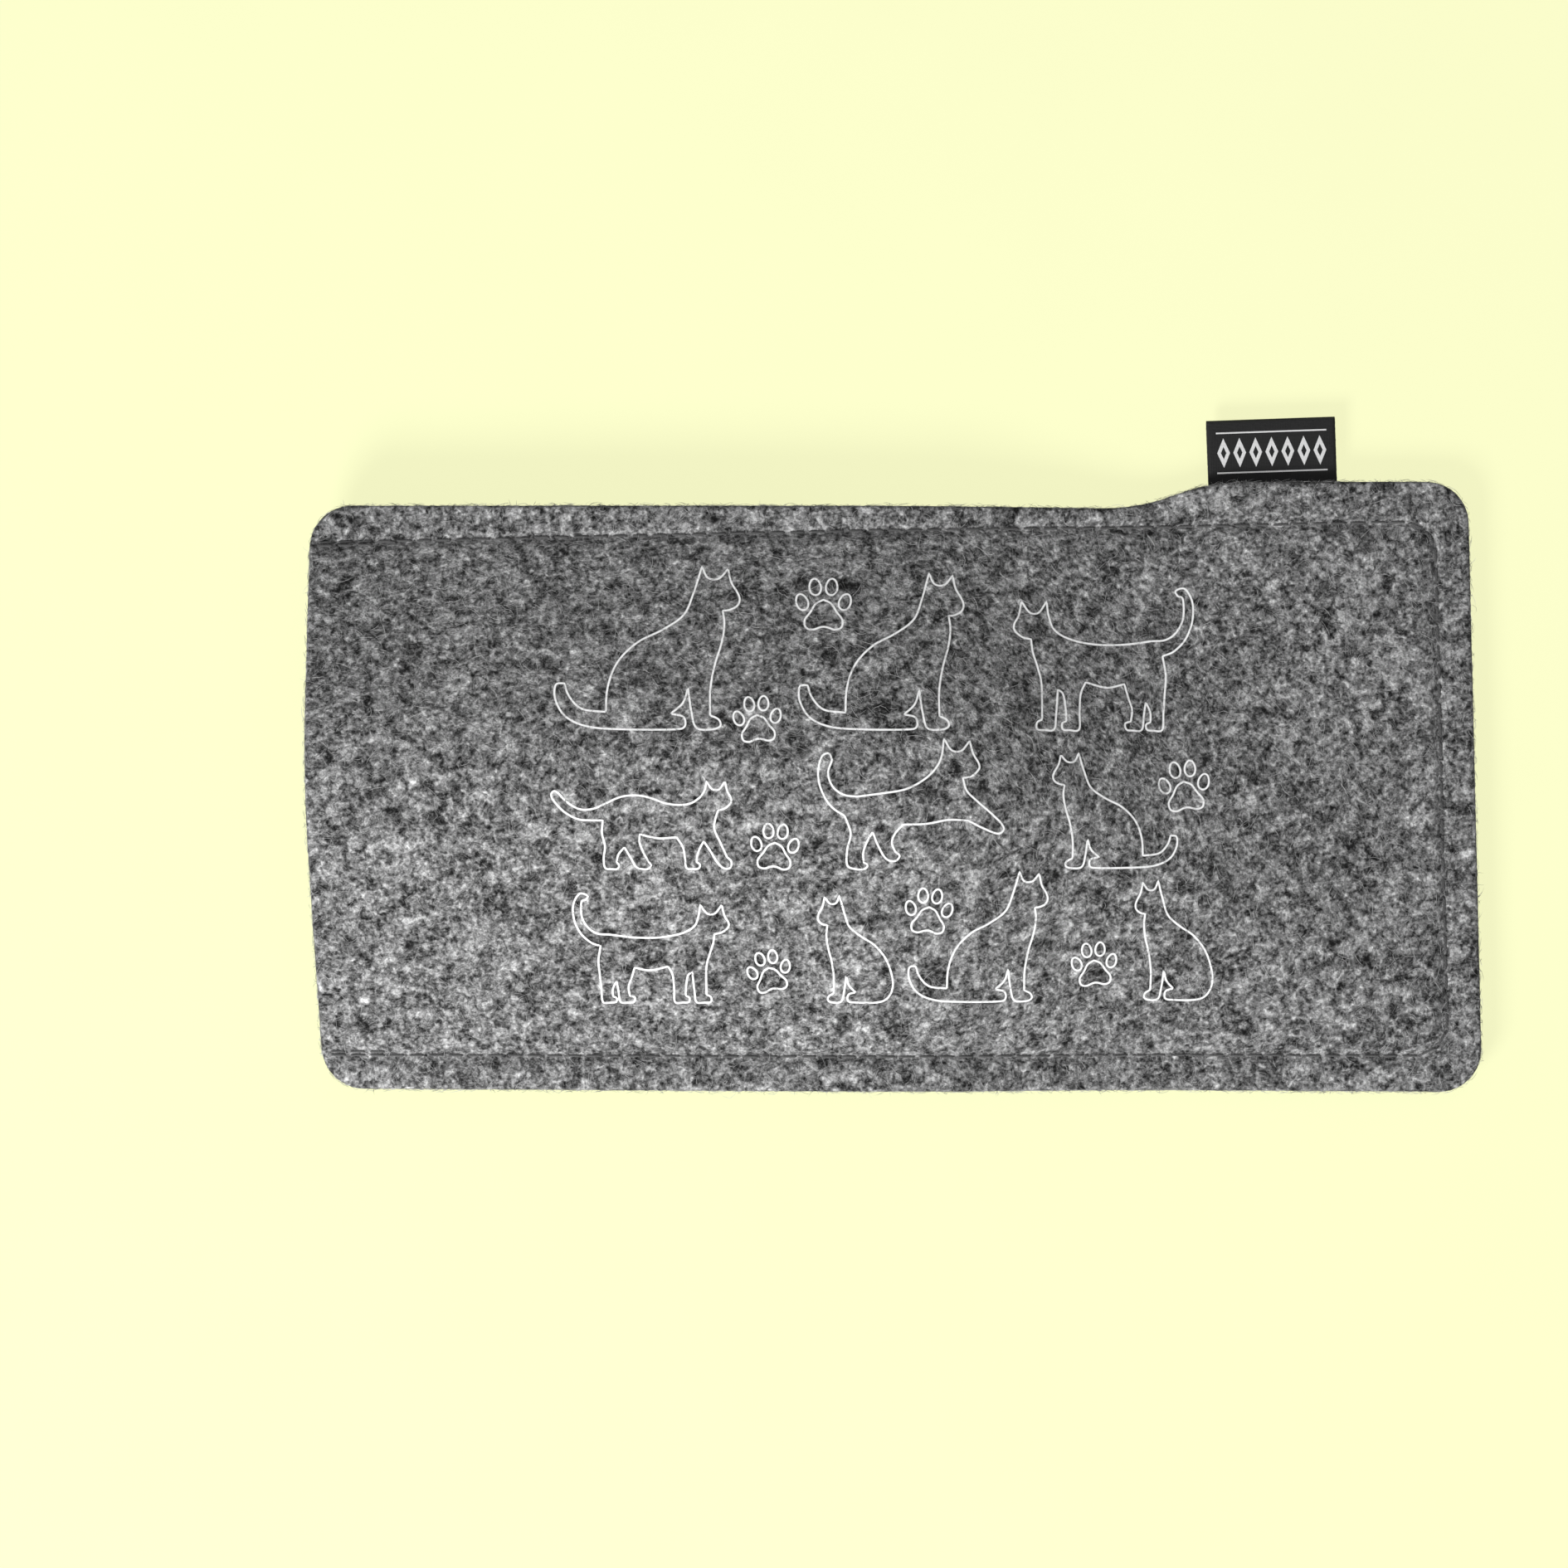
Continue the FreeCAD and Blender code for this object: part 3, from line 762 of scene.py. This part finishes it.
# outline, plan place of its lower left corner in mm, height in mm, and how much it is stretched in X: a
# negative stretch turns it to face left
FIGURES = (
    (SITTING, -51.2, 10.5, 25.0, 1.03),
    (SITTING, -14.4, 10.5, 24.0, 0.97),
    (STANDING, 18.5, 10.5, 23.0, -1.0),
    (PROWLING, -51.5, -10.5, 15.0, 0.97),
    (LEAPING, -11.5, -10.5, 20.0, 1.0),
    (SITTING, 24.2, -10.5, 17.5, -1.03),
    (STANDING, -48.5, -31.0, 17.5, 1.1),
    (UPRIGHT, -11.5, -31.0, 16.5, -0.88),
    (SITTING, 2.3, -31.0, 20.0, 0.98),
    (UPRIGHT, 37.2, -31.0, 18.5, -0.84),
)
# middle of each paw in mm, its width in mm and its turn in degrees
PAWS = (
    (-10.6, 29.3, 8.4, 0), (-20.6, 11.8, 7.2, 4), (-18.0, -7.4, 7.2, -3), (44.9, 1.7, 8.0, 6),
    (-18.8, -26.4, 6.6, 12), (5.3, -17.2, 7.2, -4), (31.0, -25.6, 7.0, 5),
)


def smooth_run(points, share):
    """A curve through points, ending short of the last one, as a run's end is the next run's start."""
    p = np.array(points, float)
    p = np.vstack([2 * p[0] - p[1], p, 2 * p[-1] - p[-2]])
    made = []
    for a, b, c, d in zip(p[:-3], p[1:-2], p[2:-1], p[3:]):
        for t in share:
            cubic = (3 * b - a - 3 * c + d) * t**3
            made.append(0.5 * (2 * b + (c - a) * t + (2 * a - 5 * b + 4 * c - d) * t * t + cubic))
    return made


def drawn(runs):
    """An outline's points."""
    share = np.linspace(0, 1, 10, endpoint=False)
    starts = (None,) + tuple(run[-1] for run in runs[:-1])
    points = []
    for start, run in zip(starts, runs):
        points += smooth_run(run if start is None else (start,) + run, share)
    return np.array(points)


def turned(points, degrees):
    """The points turned anticlockwise about the origin."""
    c, s = cos(radians(degrees)), sin(radians(degrees))
    return points @ np.array([[c, s], [-s, c]])


def paw(x, y, width, degrees):
    """The loops of one paw print: the pad and four egg-shaped toes."""
    loops = [drawn(PAD)]
    for cx, cy, turn in TOES:
        a = np.linspace(0, 2 * pi, 24, endpoint=False)
        egg = np.column_stack([TOE_SIZE[0] * np.cos(a) * (1 - 0.12 * np.sin(a)), TOE_SIZE[1] * np.sin(a)])
        loops.append(turned(egg, turn) + (cx, cy))
    return [(turned(loop - PAW_MIDDLE, degrees) * width + (x, y)) * MM for loop in loops]


def print_loops():
    """Every printed line as a closed plan loop."""
    loops = []
    for runs, x, y, height, stretch in FIGURES:
        loop = drawn(runs) * (stretch, 1.0)
        loop[:, 0] -= loop[:, 0].min()
        loops.append((loop * height + (x, y)) * MM)
    for place in PAWS:
        loops += paw(*place)
    return loops


def front_print(felt, material):
    """Ink lines laid on the front felt, each a shallow ribbon that follows its surface."""
    verts, faces, used = [], [], 0
    for loop in print_loops():
        points = resampled(loop, INK_STEP)
        count = len(points)
        left, right = offset(points, INK_WIDTH / 2, True), offset(points, -INK_WIDTH / 2, True)
        rows = []
        for line, rise in ((left, INK_PROUD), (right, INK_PROUD), (right, -INK_DEEP), (left, -INK_DEEP)):
            rows.append(np.array([(x, y, felt.face_z(x, y) + rise) for x, y in line]))
        verts.append(np.stack(rows, axis=1).reshape(-1, 3))
        for i in range(count):
            n = (i + 1) % count
            for k in range(4):
                m = (k + 1) % 4
                faces.append((used + 4 * i + k, used + 4 * i + m, used + 4 * n + m, used + 4 * n + k))
        used += 4 * count
    return mesh_object("front_print", np.vstack(verts), faces, [material], smooth_shaded=False)


# -------- materials
class Material:
    """A Principled material and the few node calls that the materials below are written with."""

    def __init__(self, name, **fixed):
        self.material = bpy.data.materials.new(name)
        self.material.use_nodes = True
        self.nodes = self.material.node_tree.nodes
        self.links = self.material.node_tree.links
        self.shader = self.nodes["Principled BSDF"]
        for socket, value in fixed.items():
            self.shader.inputs[socket.replace("_", " ")].default_value = value

    def node(self, kind, inputs, **settings):
        """A node with its inputs set or linked, by name or by number."""
        made = self.nodes.new(kind)
        for name, value in settings.items():
            setattr(made, name, value)
        for name, value in inputs.items():
            self.feed(made.inputs[name], value)
        return made

    def feed(self, socket, value):
        if isinstance(value, bpy.types.NodeSocket):
            self.links.new(value, socket)
        else:
            socket.default_value = value

    def math(self, operation, a, b=0.0, c=0.0):
        return self.node("ShaderNodeMath", {0: a, 1: b, 2: c}, operation=operation).outputs[0]

    def add(self, *values):
        """The sum of any number of values."""
        total = values[0]
        for value in values[1:]:
            total = self.math("ADD", total, value)
        return total

    def scaled(self, value, factor):
        return self.math("MULTIPLY", value, factor)

    def place_mm(self):
        """Where a point is on the piece, in millimetres."""
        where = self.node("ShaderNodeTexCoord", {}).outputs["Object"]
        return self.node("ShaderNodeVectorMath", {0: where, "Scale": 1000.0}, operation="SCALE").outputs[0]

    def noise(self, where, size, detail=2.0, distortion=0.0, rough=0.5):
        inputs = {"Vector": where, "Scale": 1.0 / size, "Detail": detail, "Distortion": distortion}
        inputs["Roughness"] = rough
        return self.node("ShaderNodeTexNoise", inputs).outputs["Fac"]

    def fibres(self, where, degrees, length, width):
        """Noise drawn out into streaks along one direction in the XY plane."""
        inputs = {"Vector": where, "Rotation": (0.0, 0.0, radians(degrees)), "Scale": (length, width, width)}
        drawn_out = self.node("ShaderNodeMapping", inputs, vector_type="TEXTURE").outputs[0]
        return self.noise(drawn_out, 1.0, 1.5, 0.6)

    def grey(self, value, tint=(1.0, 1.0, 1.0)):
        """A value as a colour."""
        parts = {k: self.scaled(value, t) for k, t in enumerate(tint)}
        return self.node("ShaderNodeCombineColor", parts).outputs[0]

    def bump(self, height, depth, strength=1.0):
        inputs = {"Height": height, "Distance": depth, "Strength": strength}
        return self.node("ShaderNodeBump", inputs).outputs[0]

    def finish(self, colour, roughness=None, normal=None):
        """The material, with what the shader reads linked to it."""
        for name, value in (("Base Color", colour), ("Roughness", roughness), ("Normal", normal)):
            if value is not None:
                self.feed(self.shader.inputs[name], value)
        return self.material


def felt_material(name, level):
    """Melange felt: light and dark fibres matted in every direction, clumped at several sizes."""
    m = Material(name, Sheen_Weight=0.15, Sheen_Roughness=0.5, Specular_IOR_Level=0.15)
    where = m.place_mm()
    blotches = m.noise(where, 5.0, 2.0, 0.4)
    clumps = m.noise(where, 2.4, 1.0, 1.0)
    grains = m.noise(where, 1.0, 1.0, 1.0)
    thick = m.add(*[m.fibres(where, angle, 2.2, 0.5) for angle in (12, 57, 101, 148)], -2.0)
    thin = m.add(*[m.fibres(where, angle, 1.3, 0.13) for angle in (34, 79, 125, 171)], -2.0)
    spots = [m.scaled(m.math("SUBTRACT", spot, 0.5), share) for spot, share in (
        (blotches, 1.2), (clumps, 3.6), (grains, 3.2),
    )]
    mix = m.add(*spots, m.scaled(thick, 2.1), m.scaled(thin, 1.4))
    spread = m.math("MAXIMUM", m.add(m.scaled(mix, 0.45), 1.0), 0.15)
    tone = m.scaled(m.math("POWER", spread, 2.2), level)
    height = m.add(m.scaled(clumps, 0.4), m.scaled(grains, 0.7), m.scaled(thick, 0.5), m.scaled(thin, 0.35))
    rough = m.add(0.86, m.scaled(grains, 0.2))
    return m.finish(m.grey(m.math("MINIMUM", tone, 0.8)), rough, m.bump(height, 0.16 * MM))


def fibre_material(name, level):
    return Material(name, Base_Color=(level, level, level, 1.0), Roughness=0.7, Sheen_Weight=0.2).material


def thread_material():
    """Dark grey polyester thread, with the fine filaments of each strand."""
    m = Material("sewing_thread", Sheen_Weight=0.3, Specular_IOR_Level=0.35)
    where = m.place_mm()
    filaments = m.noise(where, 0.09, 2.0, 1.0)
    wear = m.noise(where, 1.6, 1.0)
    tone = m.add(0.035, m.scaled(filaments, 0.03), m.scaled(wear, 0.035))
    return m.finish(m.grey(tone), m.add(0.5, m.scaled(wear, 0.25)), m.bump(filaments, 0.03 * MM, 0.8))


def ink_material():
    """White screen print, thin enough that felt fibres break its surface."""
    m = Material("white_ink", Specular_IOR_Level=0.4)
    where = m.place_mm()
    breaks = m.noise(where, 0.35, 2.0, 0.5)
    patches = m.noise(where, 1.5, 1.0)
    tone = m.add(0.62, m.scaled(breaks, 0.35), m.scaled(patches, 0.15))
    rough = m.add(0.45, m.scaled(breaks, 0.3))
    return m.finish(m.grey(m.math("MINIMUM", tone, 0.93)), rough, m.bump(breaks, 0.04 * MM))


def label_material():
    """Black damask tape: fine ribs across it, and a row of white diamonds between two thin lines."""
    m = Material("woven_tape", Sheen_Weight=0.05, Specular_IOR_Level=0.3)
    uv = m.node("ShaderNodeUVMap", {}, uv_map="weave_mm").outputs[0]
    parts = m.node("ShaderNodeSeparateXYZ", {0: uv})
    across, along = parts.outputs[0], parts.outputs[1]
    weft = m.math("ABSOLUTE", m.math("SINE", m.scaled(along, pi / 0.17)))
    warp = m.math("ABSOLUTE", m.math("SINE", m.scaled(across, pi / 0.26)))
    from_fold = m.math("ABSOLUTE", along)
    white = label_motif(m, across, from_fold)
    uneven = m.noise(uv, 0.5, 2.0)
    dark = m.add(0.003, m.scaled(weft, 0.006), m.scaled(uneven, 0.006))
    light = m.add(0.52, m.scaled(weft, 0.2), m.scaled(warp, 0.08))
    tone = m.node("ShaderNodeMix", {0: white, 2: dark, 3: light}).outputs[0]
    height = m.add(m.scaled(weft, 0.7), m.scaled(warp, 0.4), m.scaled(white, 0.8))
    return m.finish(m.grey(tone), m.add(0.5, m.scaled(weft, 0.2)), m.bump(height, 0.05 * MM))


def label_motif(m, across, from_fold):
    """1 on the motif's white threads, 0 elsewhere. Both places are in millimetres."""
    pitch, half_wide, half_high, middle = 2.5, 1.0, 2.3, 5.2
    half_row = 3.5 * pitch  # seven diamonds
    line_at, line_half_width, line_half_length = 3.1, 0.12, 8.6
    in_cell = m.math("MODULO", m.add(across, half_row + pitch), pitch)
    column = m.math("ABSOLUTE", m.math("SUBTRACT", in_cell, pitch / 2))
    row = m.math("ABSOLUTE", m.math("SUBTRACT", from_fold, middle))
    reach = m.add(m.scaled(column, 1 / half_wide), m.scaled(row, 1 / half_high))
    diamond = m.math("LESS_THAN", reach, 1.0)
    hollow = m.math("LESS_THAN", reach, 0.42)
    in_row = m.math("LESS_THAN", m.math("ABSOLUTE", across), half_row)
    shapes = m.math("MULTIPLY", m.math("SUBTRACT", diamond, hollow), in_row)
    line = m.math("COMPARE", row, line_at, line_half_width)
    in_line = m.math("MULTIPLY", line, m.math("LESS_THAN", m.math("ABSOLUTE", across), line_half_length))
    return m.math("MAXIMUM", shapes, in_line)


def floor_material():
    """Pale yellow paper that glows a little, so that it stays even across the picture."""
    m = Material("pale_paper", Specular_IOR_Level=0.0, Roughness=1.0)
    grain = m.noise(m.place_mm(), 30.0, 2.0)
    tone = m.add(0.13, m.scaled(grain, 0.02))
    m.shader.inputs["Emission Color"].default_value = (*PALE_YELLOW, 1.0)
    m.shader.inputs["Emission Strength"].default_value = FLOOR_GLOW
    return m.finish(m.grey(tone, PALE_YELLOW))


# -------- camera, light and floor
CAMERA_AT = (-16.6 * MM, 2.3 * MM, 579.5 * MM)  # straight above the pouch, looking down


def stage_and_camera():
    camera = bpy.data.objects.new("camera", bpy.data.cameras.new("camera"))
    camera.data.lens, camera.data.sensor_width = 85.0, 36.0
    camera.location = CAMERA_AT
    bpy.context.scene.collection.objects.link(camera)
    bpy.context.scene.camera = camera

    signs = ((-1, -1), (1, -1), (1, 1), (-1, 1))
    corners = [(x * FLOOR_HALF, y * FLOOR_HALF, FLOOR_Z) for x, y in signs]
    floor = mesh_object("floor", corners, [(0, 1, 2, 3)], [floor_material()])
    floor.visible_diffuse = False  # so that the yellow doesn't tint the grey felt


def area_light(name, place, target, size, power):
    """A round soft light, size in metres and power in watts."""
    data = bpy.data.lights.new(name, "AREA")
    data.shape = "DISK"
    data.size, data.energy = size, power
    light = bpy.data.objects.new(name, data)
    light.location = place
    light.rotation_euler = (Vector(target) - Vector(place)).to_track_quat("-Z", "Y").to_euler()
    light.visible_camera = False
    bpy.context.scene.collection.objects.link(light)


def lights():
    """A soft key from the lower left, near enough to fade to the right, in an even room."""
    area_light("key", (-0.27, -0.36, 0.40), (0.0, 0.0, 0.01), 0.23, 4.6)
    area_light("overhead", (0.1, 0.3, 1.1), (0.0, 0.0, 0.0), 0.9, 2.4)
    world = bpy.data.worlds.new("room")
    world.use_nodes = True
    world.node_tree.nodes["Background"].inputs["Color"].default_value = (1.0, 1.0, 1.0, 1.0)
    world.node_tree.nodes["Background"].inputs["Strength"].default_value = 0.28
    bpy.context.scene.world = world
    bpy.context.scene.view_settings.view_transform = "Standard"


# -------- the pouch
def felt_fuzz(name, felt, seed, materials):
    """Loose fibres over one panel's faces, and thicker along its cut edge."""
    fibres = Fibres(seed)
    verts, faces, used = [], [], 0
    for where, count, length, lift, stray in (  # how many, how long, and how far the middle and an end rise
        (felt.outer_faces, 8000, 2.3 * MM, 0.22 * MM, 0.4 * MM),
        (felt.inner_faces, 1000, 2.3 * MM, 0.22 * MM, 0.4 * MM),
        (felt.edge_faces, 2000, 1.7 * MM, 0.16 * MM, 0.6 * MM),
    ):
        points, normals = fibres.on_faces(felt.verts, where, count)
        some_verts, some_faces = fibres.spindles(points, normals, length, lift, stray)
        verts.append(some_verts)
        faces.append(some_faces + used)
        used += len(some_verts)
    return fibres.build(name, np.vstack(verts), np.vstack(faces), materials)


def build_pouch():
    felt = felt_material("grey_felt", FELT_GREY)
    # the cut edges get a darker copy of the same felt, as painted shade
    cut = felt_material("grey_felt_cut_shaded", CUT_SHADED_GREY)
    shades = [fibre_material(f"fibre_{name}", level) for name, level in FIBRE_GREYS.items()]
    thread = thread_material()

    front, back = Felt("front_panel", 1), Felt("back_panel", -1)
    front_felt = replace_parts(front.build("front_felt", felt, cut), "front_panel")
    back_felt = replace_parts(back.build("back_felt", felt, cut), "back_panel")
    front_fuzz = felt_fuzz("front_fuzz", front, 3, shades)
    back_fuzz = felt_fuzz("back_fuzz", back, 4, shades)
    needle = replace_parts(sewing_thread("needle_stitches", front, thread, 5), "needle_thread")
    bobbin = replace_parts(sewing_thread("bobbin_stitches", back, thread, 6), "bobbin_thread")
    ink = front_print(front, ink_material())
    for piece in (front_felt, back_felt, front_fuzz, back_fuzz, needle, bobbin, ink):
        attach(piece, "pouch")

    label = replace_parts(woven_label(label_material()), "label_loop", "label_tails")
    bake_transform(label)


stage_and_camera()
lights()
build_pouch()
bpy.context.view_layer.update()
